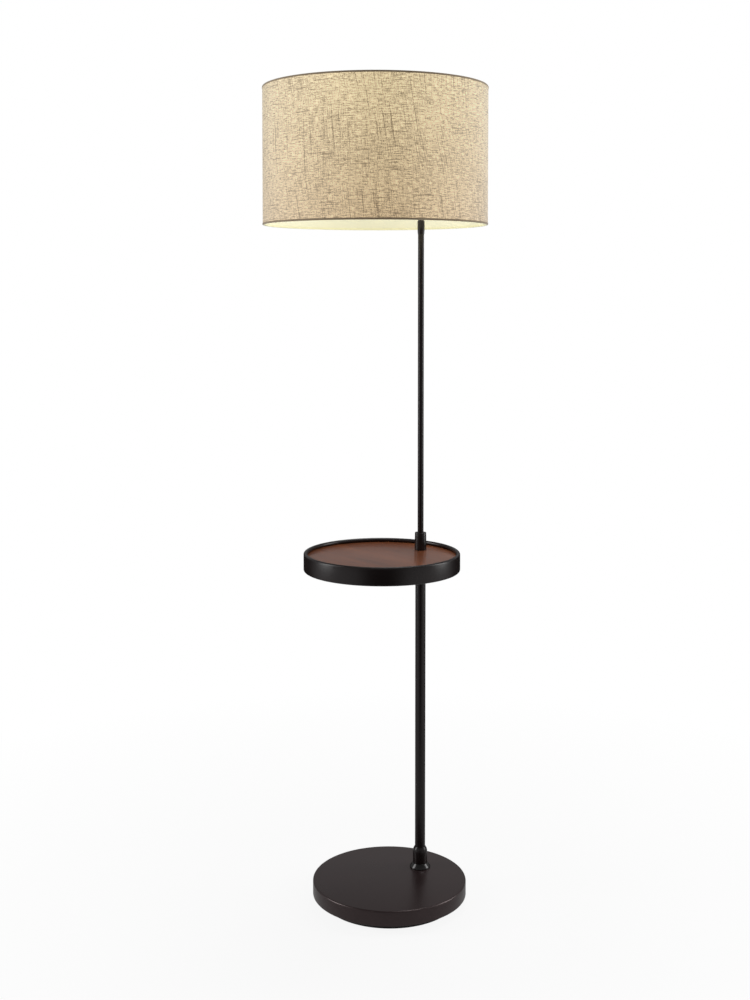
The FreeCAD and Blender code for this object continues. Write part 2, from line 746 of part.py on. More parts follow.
def make_switch():
    """Bush fixed in the shell, and the shaft and fluted knob that turn in it."""
    level = f"{SOCKET_Z} + {SHAFT_RISE}"
    bush_in, bush_out = f"({SHELL_BORE} - bush_grip)", f"({SHELL_RADIUS} + bush_length)"
    knob_in, knob_out = f"({bush_out} + knob_gap)", f"({bush_out} + knob_gap + knob_length)"
    reach = f"({knob_in} + knob_seat)"
    body = make_body("switch_bush", SHADE_Y, level)
    bore = "shaft_radius + shaft_play"
    turned(body, ring_outline(f"-{bush_out}", f"-{bush_in}", bore, "bush_radius"), plane="YZ_Plane")
    body = make_body("switch_shaft", SHADE_Y, level)
    turned(body, ring_outline(f"-{reach}", f"-({bush_in} - shaft_depth)", "0", "shaft_radius"),
           plane="YZ_Plane")
    body = make_body("switch_knob", SHADE_Y, level)
    seat, end = "shaft_radius + slip_play", f"-{reach} - slip_play"
    turned(body, [(end, "0"), (end, seat), (f"-{knob_in}", seat), (f"-{knob_in}", "knob_radius"),
                  (f"-{knob_out} + knob_edge", "knob_radius"), (f"-{knob_out}", "knob_radius - knob_edge"),
                  (f"-{knob_out}", "0")], plane="YZ_Plane")
    flute = drilled(body, "Flute", "flute_radius", up="knob_radius", plane="XZ_Plane",
                    offset=f"{knob_in} + knob_edge", depth="knob_length")
    repeated(body, [flute], FLUTE_COUNT, "Y_Axis")


def make_bulb():
    """Pear bulb with its screw cap, insulator and tip."""
    body = make_body("bulb_tip", SHADE_Y, f"{SOCKET_Z} + {TIP_RISE}")
    turned(body, ring_outline("0", "bulb_tip_radius", "0", "bulb_tip_height"))
    body = make_body("bulb_insulator", SHADE_Y, f"{SOCKET_Z} + {INSULATOR_RISE}")
    turned(body, [("bulb_tip_radius", "0"), ("bulb_tip_radius + bulb_tip_collar", "0"),
                  ("bulb_insulator_radius", "bulb_insulator_height"), ("0", "bulb_insulator_height"),
                  ("0", "bulb_tip_sunk"), ("bulb_tip_radius", "bulb_tip_sunk")])
    body = make_body("bulb_cap", SHADE_Y, f"{SOCKET_Z} + {BULB_CAP_RISE}")
    bore, slope = "(bulb_cap_radius - bulb_cap_wall)", "(bulb_cap_radius - bulb_insulator_radius)"
    mouth = "bulb_insulator_radius - 2 * bulb_cap_wall"
    turned(body, [(mouth, "0"), ("bulb_insulator_radius", "0"), ("bulb_cap_radius", slope),
                  ("bulb_cap_radius", "bulb_cap_height"), (bore, "bulb_cap_height"),
                  (bore, f"{slope} + bulb_cap_wall"), (mouth, "bulb_cap_wall")])
    make_bulb_glass()


def make_bulb_glass():
    """Glass of the bulb: a ball that runs into its neck by one hollow arc."""
    body = make_body("bulb_glass", SHADE_Y, f"{SOCKET_Z} + {GLASS_RISE}")
    arc = ("((bulb_rise^2 - bulb_radius^2 + bulb_neck_radius^2)"
           " / (2 * (bulb_radius - bulb_neck_radius)))")
    middle = "(bulb_neck_height + bulb_rise)"
    inner = "(bulb_radius - glass_wall)"

    def touch(radius):
        share = f"{radius} / ({arc} + bulb_radius)"
        return f"(bulb_neck_radius + {arc}) * {share}", f"{middle} - bulb_rise * {share}"

    turned(body, [
        ("bulb_neck_radius - glass_wall", "0"),
        ("bulb_neck_radius", "0"),
        ("bulb_neck_radius", "bulb_neck_height"),
        (*touch("bulb_radius"), arc, RIGHT),
        ("0", f"{middle} + bulb_radius", "bulb_radius", LEFT),
        ("0", f"{middle} + {inner}"),
        (*touch(inner), inner, RIGHT),
        ("bulb_neck_radius - glass_wall", "bulb_neck_height", f"{arc} + glass_wall", LEFT),
    ])


# ---- harp, spider and finial ------------------------------------------------------------


def make_harp_saddle():
    """Strip clamped under the lamp holder, with a post at each end for the harp."""
    body = make_body("harp_saddle", SHADE_Y, SADDLE_Z)
    end, half = "saddle_half_width", "0.5 * saddle_strip"
    strip = make_sketch(body, "SaddleStrip", "XY_Plane")
    draw(strip, [
        (f"-{end}", f"-{half}", half, LEFT),
        (end, f"-{half}"),
        (f"{end} + {half}", "0", half, LEFT),
        (end, half, half, LEFT),
        (f"-{end}", half),
        (f"-{end} - {half}", "0", half, LEFT),
    ])
    padded(body, strip, "saddle_sheet")
    posts = make_sketch(body, "SaddlePosts", "XY_Plane")
    circle(posts, "harp_wire", f"-{end}")
    circle(posts, "harp_wire", end)
    padded(body, posts, "saddle_sheet + post_height")
    drilled(body, "NippleHole", NIPPLE_HOLE)


def make_harp():
    """Wire hoop round the bulb, flared from the saddle and closed over the top."""
    body = make_body("harp", SHADE_Y, HARP_Z, "-saddle_half_width")
    flare, half_rise = "(harp_half_width - saddle_half_width)", "0.5 * harp_flare_rise"
    curve = f"(({flare}^2 + harp_flare_rise^2) / (4 * {flare}))"
    far = "2 * saddle_half_width"
    path = make_sketch(body, "HarpPath")
    draw(path, [
        ("0", "0"),
        ("0", "harp_leg"),
        (f"-0.5 * {flare}", f"harp_leg + {half_rise}", curve, LEFT),
        (f"-{flare}", "harp_leg + harp_flare_rise", curve, RIGHT),
        (f"-{flare}", "harp_rise - harp_shoulder"),
        (f"harp_shoulder - {flare}", "harp_rise", "harp_shoulder", RIGHT),
        (f"{far} + {flare} - harp_shoulder", "harp_rise"),
        (f"{far} + {flare}", "harp_rise - harp_shoulder", "harp_shoulder", RIGHT),
        (f"{far} + {flare}", "harp_leg + harp_flare_rise"),
        (f"{far} + 0.5 * {flare}", f"harp_leg + {half_rise}", curve, RIGHT),
        (far, "harp_leg", curve, LEFT),
        (far, "0"),
    ], closed=False)
    section = make_sketch(body, "HarpSection", "XY_Plane")
    circle(section, "harp_wire")
    piped(body, path, section)


def make_harp_sleeves():
    """Two sleeves that slide down over the joints between the posts and the harp's legs."""
    body = make_body("harp_sleeves", SHADE_Y, SOCKET_Z)
    body.AllowCompound = True
    sketch = make_sketch(body, "SleeveOutline", "XY_Plane")
    for side in ("-saddle_half_width", "saddle_half_width"):
        circle(sketch, "harp_wire + slip_play", side)
        circle(sketch, "harp_wire + slip_play + sleeve_thickness", side)
    padded(body, sketch, "sleeve_length")


def make_harp_stud():
    """Block round the harp's top wire, with the stud that the shade is screwed down on."""
    body = make_body("harp_stud", SHADE_Y, f"{HARP_TOP_Z} - harp_wire - stud_roof")
    top = "2 * (harp_wire + stud_roof)"
    turned(body, [("0", "0"), ("stud_hub_radius", "0"), ("stud_hub_radius", top), ("stud_radius", top),
                  ("stud_radius", f"{top} + stud_length"), ("0", f"{top} + stud_length")])
    drilled(body, "WireHole", "harp_wire + slip_play", up="harp_wire + stud_roof", plane="YZ_Plane")


def make_spider():
    """Hub and bent wire arms that hang the shade on the stud."""
    middle = f"{SPIDER_Z} + 0.5 * spider_hub_height"
    body = make_body("shade_spider", SHADE_Y, middle)
    end = f"({HEM_INNER} - slip_play - spider_wire)"
    path = make_sketch(body, "SpiderPath", "YZ_Plane")
    draw(path, [
        ("0", "0"),
        (f"{end} - spider_bend", "0"),
        (end, "spider_bend", "spider_bend", LEFT),
        (end, f"{TOP_RING_Z} - ({middle})"),
    ], closed=False)
    section = make_sketch(body, "SpiderSection")
    circle(section, "spider_wire")
    arm = piped(body, path, section)
    repeated(body, [arm], SPIDER_ARMS)
    half = "0.5 * spider_hub_height"
    turned(body, ring_outline("0", "spider_hub_radius", f"-{half}", half), "Hub")
    drilled(body, "StudHole", "stud_radius + slip_play")


def make_finial():
    """Ball nut that holds the spider down on the harp's stud."""
    body = make_body("finial", SHADE_Y, f"{SPIDER_Z} + spider_hub_height")
    bore, middle = "stud_radius + slip_play", "finial_height - finial_radius"
    depth = "stud_length - spider_hub_height + hole_play"
    waist = f"{middle} - sqrt(finial_radius^2 - finial_waist_radius^2)"
    turned(body, [
        (bore, "0"),
        ("finial_foot_radius", "0"),
        ("finial_foot_radius", "finial_foot_height"),
        ("finial_waist_radius", waist),
        ("finial_radius", middle, "finial_radius", LEFT),
        ("0", "finial_height", "finial_radius", LEFT),
        ("0", depth),
        (bore, depth),
    ])


# ---- shade ------------------------------------------------------------------------------


def make_shade_wall():
    """Linen drum and the plastic liner that it is laminated to."""
    level, height = "shade_level + hem_cloth", "shade_height - 2 * hem_cloth"
    tube("shade_fabric", CLOTH_RADIUS, LINER_RADIUS, height, level, SHADE_Y)
    tube("shade_liner", LINER_RADIUS, SHADE_BORE, height, level, SHADE_Y)


def make_shade_ring(label, level):
    """Wire ring that keeps one edge of the drum round."""
    body = make_body(label, SHADE_Y, level)
    sketch = make_sketch(body, body.Name + "Wire")
    circle(sketch, "ring_wire", RING_MIDDLE)
    feature(body, "Revolution", sketch, ReferenceAxis=(sketch, ["V_Axis"]), Angle=360)


def make_hem(label, level, way):
    """Cloth tape wrapped over one edge of the drum and its ring; way is its upright sign."""
    body = make_body(label, SHADE_Y, level)
    drop, cloth = f"{way}hem_drop", f"{way}hem_cloth"
    turned(body, [
        (HEM_INNER, "0"),
        ("shade_radius", "0"),
        ("shade_radius", drop),
        (CLOTH_RADIUS, drop),
        (CLOTH_RADIUS, cloth),
        (f"{HEM_INNER} + hem_cloth", cloth),
        (f"{HEM_INNER} + hem_cloth", drop),
        (HEM_INNER, drop),
    ])


def make_shade():
    """Whole drum: wall, rings and hems."""
    make_shade_wall()
    make_shade_ring("bottom_ring", BOTTOM_RING_Z)
    make_shade_ring("top_ring", TOP_RING_Z)
    make_hem("bottom_hem", "shade_level", "")
    make_hem("top_hem", SHADE_TOP_Z, "-")


# ---- check and write --------------------------------------------------------------------


def check_features():
    """Stop if any feature failed."""
    doc.recompute()
    for thing in doc.Objects:
        if {"Invalid", "Error"} & set(thing.State):
            raise ValueError(f"{thing.Label} failed: {thing.State}")


def write_parts():
    """Check each sub-part's shape and write it to its own file."""
    os.makedirs("parts", exist_ok=True)
    bodies = [thing for thing in doc.Objects if thing.TypeId == "PartDesign::Body"]
    for body in bodies:
        if body.Shape.isNull() or not body.Shape.isValid() or not body.Shape.Solids:
            raise ValueError(f"{body.Label} has no sound shape")
        body.Shape.exportStep(f"parts/{body.Label}.step")
        print(f"{body.Label}: {len(body.Shape.Solids)} solid(s), {body.Shape.Volume / 1000:.2f} cm3")
    print(len(bodies), "sub-parts")


for make in (
    make_foot_pad, make_plinth, make_plinth_screws, make_bottom_plate, make_base_weight, make_base_cover,
    make_cord_bushing, make_base_fastening, make_base_fittings, make_lower_pole, make_tray_pan,
    make_tray_board, make_tray_fastening, make_upper_pole, make_neck, make_lamp_arm, make_arm_hub,
    make_inner_lead, make_socket_metal, make_socket_core, make_switch, make_bulb, make_harp_saddle,
    make_harp, make_harp_sleeves, make_harp_stud, make_spider, make_finial, make_shade,
):
    make()
check_features()
write_parts()
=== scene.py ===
# %% [markdown]
# # A floor lamp with a round table
#
# The lamp is a heavy disc on the floor, a pole in two thicknesses, a round tray half way up and
# a linen drum shade. The solid model already fixes where every part sits and how big it is, so
# this lesson only dresses it: it turns smooth skins for the parts that show, weaves the linen,
# lays the veneer, and gives every part the finish that its real material has.

# %% Load the solid model as the frame
import math

import bmesh
import bpy
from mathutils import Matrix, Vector


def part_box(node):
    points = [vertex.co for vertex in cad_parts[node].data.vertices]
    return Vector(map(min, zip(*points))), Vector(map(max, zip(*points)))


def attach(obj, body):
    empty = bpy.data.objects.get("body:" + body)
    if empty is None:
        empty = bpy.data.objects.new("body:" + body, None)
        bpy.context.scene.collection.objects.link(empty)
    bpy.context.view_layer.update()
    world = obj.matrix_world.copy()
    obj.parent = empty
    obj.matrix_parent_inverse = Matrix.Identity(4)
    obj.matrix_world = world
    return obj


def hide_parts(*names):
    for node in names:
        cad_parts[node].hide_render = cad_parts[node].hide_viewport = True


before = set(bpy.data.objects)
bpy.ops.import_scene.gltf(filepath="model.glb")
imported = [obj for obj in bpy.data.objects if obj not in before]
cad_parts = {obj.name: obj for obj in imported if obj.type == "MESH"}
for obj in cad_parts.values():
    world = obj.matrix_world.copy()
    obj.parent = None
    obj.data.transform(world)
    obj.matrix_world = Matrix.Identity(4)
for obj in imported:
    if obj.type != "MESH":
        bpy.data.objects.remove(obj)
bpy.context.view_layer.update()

# %% [markdown]
# ## Measuring
#
# Nothing is placed by eye. The parts are round about upright axes, so the middle of a part's
# box is its axis. What a box can't give, such as a sheet's thickness or an edge's rounding, is
# named here in millimetres.

# %% Read where the parts sit
MM = 0.001


def axis_of(node):
    """Axis of a round node, seen from above."""
    low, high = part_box(node)
    return (low.x + high.x) / 2, (low.y + high.y) / 2


def radius_of(node):
    """Largest radius of a round node."""
    low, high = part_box(node)
    return (high.x - low.x) / 2


def levels_of(node):
    """Lowest and highest level of a node."""
    low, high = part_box(node)
    return low.z, high.z


BASE_AXIS = (0.0, 0.0)
POLE_AXIS = axis_of("lower_pole")
TRAY_AXIS = axis_of("tray_pan")
SHADE_AXIS = axis_of("shade_fabric")
print("axes along Y in mm:", [round(axis[1] / MM, 1) for axis in (POLE_AXIS, TRAY_AXIS, SHADE_AXIS)])

# %% [markdown]
# ## Turning shapes
#
# Almost every part of a lamp is spun or turned: a half outline swept once round an axis. bmesh
# does this with its spin operator. The outline is a chain of a few vertices, and a corner that
# is soft on the real part is rounded while it is still a flat chain, with a vertex bevel, which
# is far cheaper than beveling a ring of edges later. Where a stretch is a long curve, such as a
# shoulder or a curled rim, `arc` gives its points.

# %% Helpers that turn a half outline into a finished piece
STAND = "stand"
SMOOTH_UNDER = math.radians(32)
ROUNDING_STEPS = 6
SAME_POINT = 0.001 * MM


def finished(name, shape, material, replaced):
    """Store a mesh as an object at the origin and let it stand for its solid parts."""
    mesh = bpy.data.meshes.new(name)
    shape.to_mesh(mesh)
    shape.free()
    mesh.shade_smooth()
    mesh.set_sharp_from_angle(angle=SMOOTH_UNDER)
    mesh.materials.append(material)
    piece = bpy.data.objects.new(name, mesh)
    bpy.context.scene.collection.objects.link(piece)
    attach(piece, STAND)
    if replaced:
        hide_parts(*replaced)
    print(f"{name}: {len(mesh.polygons)} faces")
    return piece


def arc(centre, radius, start, end, count):
    """Points of an arc in an outline, from one angle to another in degrees."""
    across, up = centre
    turns = [math.radians(start + (end - start) * step / count) for step in range(count + 1)]
    return [(across + radius * math.cos(turn), up + radius * math.sin(turn)) for turn in turns]


def swept(outline, axis, steps=96, closed=True, start=0.0, sweep=math.tau):
    """Sweep an outline of (radius, height) or (radius, height, rounding) corners round an axis."""
    shape = bmesh.new()
    heading = Vector((math.cos(start), math.sin(start), 0))
    middle = Vector((*axis, 0))
    places = [middle + heading * corner[0] + Vector((0, 0, corner[1])) for corner in outline]
    points = [shape.verts.new(place) for place in places]
    for before, after in zip(points, points[1:] + (points[:1] if closed else [])):
        shape.edges.new((before, after))
    for point, corner in zip(points, outline):
        if len(corner) > 2:
            bmesh.ops.bevel(shape, geom=[point], offset=corner[2], offset_type="OFFSET",
                            segments=ROUNDING_STEPS, profile=0.5, affect="VERTICES", material=-1)
    full = sweep == math.tau
    first = shape.edges[:]
    spun = bmesh.ops.spin(shape, geom=shape.verts[:] + first, cent=middle, axis=(0, 0, 1),
                          angle=sweep, steps=steps, use_merge=full)
    if not full:
        last = [part for part in spun["geom_last"] if isinstance(part, bmesh.types.BMEdge)]
        for rim in (first, last):
            bmesh.ops.contextual_create(shape, geom=rim)
    bmesh.ops.remove_doubles(shape, verts=shape.verts, dist=SAME_POINT)
    bmesh.ops.recalc_face_normals(shape, faces=shape.faces)
    return shape


def turned(name, outline, axis, material, replaced, slot, **how):
    """Turn a piece on the stand."""
    return finished(name, swept(outline, axis, **how), material, replaced)


# %% [markdown]
# ## Writing shaders as sums
#
# A finish here is a small formula: some noise, stretched and mixed. `Wire` wraps an output
# socket, and each sum or product written on it adds a Math node. `Tree.node` makes any other
# node. Values that are the same all over a surface are set straight on the shader's sockets.

# %% Helpers for shaders
class Wire:
    """An output socket that takes part in Python sums."""

    def __init__(self, tree, socket):
        self.tree, self.socket = tree, socket

    def math(self, operation, first, second):
        """Add a Math node."""
        return self.tree.node("Math", {"operation": operation}, {0: first, 1: second})

    def __add__(self, other):
        return self.math("ADD", self, other)

    def __sub__(self, other):
        return self.math("SUBTRACT", self, other)

    def __mul__(self, other):
        return self.math("MULTIPLY", self, other)

    def __truediv__(self, other):
        return self.math("DIVIDE", self, other)

    def __rsub__(self, other):
        return self.math("SUBTRACT", other, self)

    def __rtruediv__(self, other):
        return self.math("DIVIDE", other, self)

    __radd__ = __add__
    __rmul__ = __mul__

    def ramp(self, low, high):
        """0 up to a low value, 1 from a high one, and straight between."""
        values = {"Value": self, "From Min": low, "From Max": high}
        return self.tree.node("MapRange", {"clamp": True}, values)


class Tree:
    """A node tree and the few ways in which this lesson adds to it."""

    def __init__(self, tree):
        self.tree = tree

    def feed(self, socket, value):
        """Link a wire to a socket, or set the socket's own value."""
        if isinstance(value, Wire):
            self.tree.links.new(value.socket, socket)
        elif socket.type == "RGBA":
            socket.default_value = (*value, 1)
        else:
            socket.default_value = value

    def add(self, kind, settings=None, inputs=None):
        """Add a node of a kind, with its settings and what goes into its sockets."""
        node = self.tree.nodes.new("ShaderNode" + kind)
        for setting, value in (settings or {}).items():
            setattr(node, setting, value)
        for socket, value in (inputs or {}).items():
            self.feed(node.inputs[socket], value)
        return node

    def node(self, kind, settings=None, inputs=None, output=0):
        """Add a node and give one of its outputs."""
        return Wire(self, self.add(kind, settings, inputs).outputs[output])

    def split(self, vector):
        """The three parts of a vector."""
        return [Wire(self, part) for part in self.add("SeparateXYZ", None, {0: vector}).outputs]

    def blend(self, factor, first, second):
        """Mix two colours, each a plain colour or a wire."""
        return self.node("Mix", {"data_type": "RGBA"}, {0: factor, 6: first, 7: second}, 2)


class Finish(Tree):
    """A material, built on the Principled shader."""

    def __init__(self, name, **constants):
        self.material = bpy.data.materials.new(name)
        self.material.use_nodes = True
        super().__init__(self.material.node_tree)
        self.shader = self.tree.nodes["Principled BSDF"]
        self.set(**constants)

    def set(self, **sockets):
        """Feed the shader's sockets, named in small letters."""
        by_name = {socket.name.lower().replace(" ", "_"): socket for socket in self.shader.inputs}
        for name, value in sockets.items():
            self.feed(by_name[name], value)

    def place(self, scale=(1, 1, 1), moved=(0, 0, 0), unrolled=False):
        """Object coordinates, or the piece's own UV map, stretched and then moved."""
        coordinates = self.node("TexCoord", output=2 if unrolled else 3)
        return self.node("Mapping", None, {"Vector": coordinates, "Location": moved, "Scale": scale})

    def noise(self, place, scale, detail=2.0, roughness=0.5):
        """Cloudy noise between 0 and 1 that changes over 1/scale of a metre."""
        return self.node("TexNoise", None, {"Vector": place, "Scale": scale, "Detail": detail,
                                            "Roughness": roughness})

    def bump(self, height, distance):
        """Raise the surface by a height of 0 to 1 times a distance in metres."""
        self.set(normal=self.node("Bump", None, {"Height": height, "Distance": distance}))


def dress(material, *nodes):
    """Give a material to solid parts that stay as they are."""
    for name in nodes:
        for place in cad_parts[name].material_slots:
            place.material = material
    print(f"{material.name}: {', '.join(nodes)}")


# %% [markdown]
# ## Black powder coat
#
# The metal of this lamp is coated steel: nearly black, with a warm cast and a satin sheen that
# is never quite even. Close up, powder coat has a fine orange-peel skin. Broad, faint clouds in
# the roughness stop a long pole or a wide disc from looking like plastic. The base disc lies
# flat and looks browner than the poles, so its coat mirrors more and tints what it mirrors, and
# the small flange under the pole is glossier than both.

# %% Coated metal
CLOUD_SCALE, GRAIN_SCALE, PEEL_SCALE = 14, 900, 1400


def coated(name, color, roughness, level, spread=0.05, peel=0.007, tint=(1, 1, 1)):
    """Satin coat with uneven sheen and an orange-peel skin, its height in millimetres."""
    coat = Finish(name, specular_ior_level=level, specular_tint=tint)
    place = coat.place()
    clouds = coat.noise(place, CLOUD_SCALE, 3)
    grain = coat.noise(place, GRAIN_SCALE)
    dull = [part * 0.8 for part in color]
    clear = [part * 1.2 for part in color]
    coat.set(base_color=coat.blend(clouds, dull, clear))
    coat.set(roughness=clouds * (2 * spread) + grain * 0.04 + (roughness - spread))
    coat.bump(coat.noise(place, PEEL_SCALE, 3), peel * MM)
    return coat.material


black_coat = coated("black_coat", (0.0100, 0.0054, 0.0054), roughness=0.27, level=0.42)
base_coat = coated("base_coat", (0.0205, 0.0120, 0.0122), roughness=0.27, level=0.70,
                   tint=(1.0, 0.82, 0.82))
gloss_coat = coated("gloss_coat", (0.008, 0.007, 0.007), roughness=0.17, level=0.60,
                    spread=0.02, peel=0.004)
print("coats:", black_coat.name, base_coat.name, gloss_coat.name)

# %% [markdown]
# ## Base disc
#
# The disc is one steel sheet, spun over a former: flat on top, a rounded shoulder, a short
# upright wall and a lip turned in under it, which the bottom plate clamps. The outline follows
# the sheet's outer and inner face, so the wall has its real thickness where it is seen from
# below.

# %% Turn the base disc
SHEET = 1.0 * MM
LIP = 6.0 * MM
DISC_SHOULDER = 3.0 * MM
FOLD = 0.6 * MM
RAW_EDGE = 0.4 * MM
base_low, base_high = levels_of("base_cover")
base_radius = radius_of("base_cover")
turned("base_disc", [
    (0, base_high),
    (base_radius, base_high, DISC_SHOULDER),
    (base_radius, base_low, FOLD),
    (base_radius - LIP, base_low, RAW_EDGE),
    (base_radius - LIP, base_low + SHEET),
    (base_radius - SHEET, base_low + SHEET),
    (base_radius - SHEET, base_high - SHEET, DISC_SHOULDER - SHEET),
    (0, base_high - SHEET),
], BASE_AXIS, base_coat, ["base_cover"], "black_paint", steps=256, closed=False)

# %% [markdown]
# ## Foot pad
#
# Under the foot lies a disc of soft foam, glued on, that keeps the lamp from marking the floor.
# A die cuts it, so its side is upright, and the weight of the lamp rounds its lower edge.

# %% Lay the pad
PIT_SCALE = 1600
CUT_EDGE = 0.2 * MM
PRESSED_EDGE = 0.7 * MM


def foam():
    """Closed-cell foam: dull, with fine pits."""
    pad = Finish("pad_foam", roughness=0.95, specular_ior_level=0.15)
    pits = pad.noise(pad.place(), PIT_SCALE, 2)
    pad.set(base_color=pad.blend(pits.ramp(0.35, 0.6), (0.010, 0.010, 0.010), (0.030, 0.029, 0.028)))
    pad.bump(pits, 0.15 * MM)
    return pad.material


pad_low, pad_high = levels_of("foot_pad")
pad_radius = radius_of("foot_pad")
pad = turned("foot_foam", [
    (0, pad_high),
    (pad_radius, pad_high, CUT_EDGE),
    (pad_radius, pad_low, PRESSED_EDGE),
    (0, pad_low),
], BASE_AXIS, foam(), ["foot_pad"], "soft_pad", steps=192, closed=False)

# %% [markdown]
# ## Pole and its fittings
#
# The thick pole drops into a ferrule that stands on a low, glossy flange. The thin pole rises
# from a collar on the tray and ends in a sleeve just under the shade. All are tubes, open at
# both ends, so each outline is a closed ring with a bore.

# %% Turn the flange
NIPPLE_HOLE = 5.4 * MM
FLANGE_EDGE = 2.0 * MM
FLANGE_TOP = 14.0 * MM
flange_low, flange_high = levels_of("base_flange")
flange_radius = radius_of("base_flange")
turned("pole_flange", [
    (NIPPLE_HOLE, flange_low),
    (flange_radius, flange_low, 0.5 * MM),
    (flange_radius, flange_low + FLANGE_EDGE, 0.9 * MM),
    (FLANGE_TOP, flange_high, 0.6 * MM),
    (NIPPLE_HOLE, flange_high),
], POLE_AXIS, gloss_coat, ["base_flange"], "flange_gloss")

# %% Turn the ferrule
PLAY = 0.1 * MM
SHOULDER = 9.5 * MM
MOUTH_WALL = 0.7 * MM
pole_radius = radius_of("lower_pole")
ferrule_low, ferrule_high = levels_of("pole_ferrule")
ferrule_radius = radius_of("pole_ferrule")
step_in = ferrule_radius - (pole_radius + MOUTH_WALL)
curve = (step_in ** 2 + SHOULDER ** 2) / (2 * step_in)
reach = math.degrees(math.asin(SHOULDER / curve))
turned("foot_ferrule", [
    (pole_radius + PLAY, ferrule_low),
    (ferrule_radius, ferrule_low, 0.4 * MM),
    *arc((ferrule_radius - curve, ferrule_high - SHOULDER), curve, 0, reach, 12),
    (pole_radius + PLAY, ferrule_high),
], POLE_AXIS, black_coat, ["pole_ferrule"], "black_paint")
print("shoulder curve:", round(curve / MM, 1), "mm over", round(reach, 1), "degrees")

# %% Turn the two poles
DEBURRED = 0.3 * MM
thin_radius = radius_of("upper_pole")
for name, node, radius, wall in (
    ("thick_pole", "lower_pole", pole_radius, 1.2 * MM),
    ("thin_pole", "upper_pole", thin_radius, 1.0 * MM),
):
    low, high = levels_of(node)
    turned(name, [
        (radius - wall, low),
        (radius, low, DEBURRED),
        (radius, high, DEBURRED),
        (radius - wall, high),
    ], POLE_AXIS, black_coat, [node], "black_paint")

# %% Turn the collar and the neck
TAPER = 0.7 * MM
NECK_TAPER_HIGH = 9.0 * MM
SOFT_EDGE = 0.8 * MM
collar_low, collar_high = levels_of("tray_collar")
collar_radius = radius_of("tray_collar")
turned("tray_sleeve", [
    (thin_radius + PLAY, collar_low),
    (collar_radius, collar_low, DEBURRED),
    (collar_radius - TAPER, collar_high, SOFT_EDGE),
    (thin_radius + PLAY, collar_high),
], POLE_AXIS, black_coat, ["tray_collar"], "black_paint")

neck_low, neck_high = levels_of("neck_coupling")
neck_radius = radius_of("neck_coupling")
turned("neck_sleeve", [
    (thin_radius + PLAY, neck_low),
    (neck_radius - TAPER, neck_low, DEBURRED),
    (neck_radius, neck_low + NECK_TAPER_HIGH, 2.5 * MM),
    (neck_radius, neck_high, SOFT_EDGE),
    (thin_radius + PLAY, neck_high),
], POLE_AXIS, black_coat, ["neck_coupling"], "black_paint")

# %% [markdown]
# ## Tray
#
# The pan is spun from one sheet: a flat bottom, a rounded corner, an upright wall, and a rim
# that curls inwards into a hollow bead. The bead stiffens the rim and hides the raw edge. It is
# an arc of 300 degrees in the outline, and the wall's inner face starts where the arc ends.

# %% Turn the pan
WALL = 1.2 * MM
BEAD = 3.65 * MM
BEAD_TURN = 300
CURL_GAP = 0.2 * MM
TRAY_CORNER = 3.0 * MM
tray_low, tray_high = levels_of("tray_pan")
tray_radius = radius_of("tray_pan")
bead_middle = (tray_radius - BEAD, tray_high - BEAD)
turned("tray_dish", [
    (0, tray_low),
    (tray_radius, tray_low, TRAY_CORNER),
    *arc(bead_middle, BEAD, 0, BEAD_TURN, 20),
    (tray_radius - WALL, tray_high - 2 * BEAD + CURL_GAP),
    (tray_radius - WALL, tray_low + WALL, TRAY_CORNER - WALL),
    (0, tray_low + WALL),
], TRAY_AXIS, black_coat, ["tray_pan"], "black_paint", steps=256, closed=False)

# %% [markdown]
# ## Walnut veneer
#
# The board is veneered with walnut. Its figure runs one way, across the lamp: broad darker
# bands, fine fibres inside them, and short dark pores. All three are noise stretched along the
# grain: few changes in a metre along it, and many across. The satin lacquer on top is a thin
# coat, a little uneven where the pores drink it.

# %% Walnut
BAND_STRETCH = (1.6, 17, 17)
FIBRE_STRETCH = (9, 260, 260)
PORE_STRETCH = (70, 1500, 1500)
DEEP_WALNUT = (0.150, 0.047, 0.019)
RED_WALNUT = (0.230, 0.071, 0.028)
PALE_WALNUT = (0.315, 0.104, 0.041)
PORE_BROWN = (0.035, 0.017, 0.012)


def walnut_veneer():
    """Flat-cut walnut with bands, fibres and pores, under satin lacquer."""
    wood = Finish("walnut_veneer", coat_roughness=0.13, specular_ior_level=0.25, coat_ior=1.4)
    bands = wood.noise(wood.place(BAND_STRETCH), 1.5, 4, 0.55)
    fibres = wood.noise(wood.place(FIBRE_STRETCH), 1.0, 3, 0.6)
    pores = wood.noise(wood.place(PORE_STRETCH), 1.0, 1).ramp(0.62, 0.70)
    tone = bands * 0.7 + fibres * 0.3
    darker = wood.blend(tone.ramp(0.34, 0.50), DEEP_WALNUT, RED_WALNUT)
    color = wood.blend(tone.ramp(0.50, 0.66), darker, PALE_WALNUT)
    wood.set(base_color=wood.blend(pores * 0.6, color, PORE_BROWN))
    wood.set(roughness=fibres * 0.14 + 0.30, coat_weight=0.60 - pores * 0.4)
    wood.bump(fibres * 0.4 + (1 - pores) * 0.6, 0.04 * MM)
    return wood.material


# %% Lay the board
PRESSED_CORNER = 1.8 * MM
board_low, board_high = levels_of("tray_board")
board_radius = radius_of("tray_board")
turned("walnut_top", [
    (0, board_low),
    (board_radius, board_low, PRESSED_CORNER),
    (board_radius, board_high, DEBURRED),
    (0, board_high),
], TRAY_AXIS, walnut_veneer(), ["tray_board"], "walnut", steps=256, closed=False)

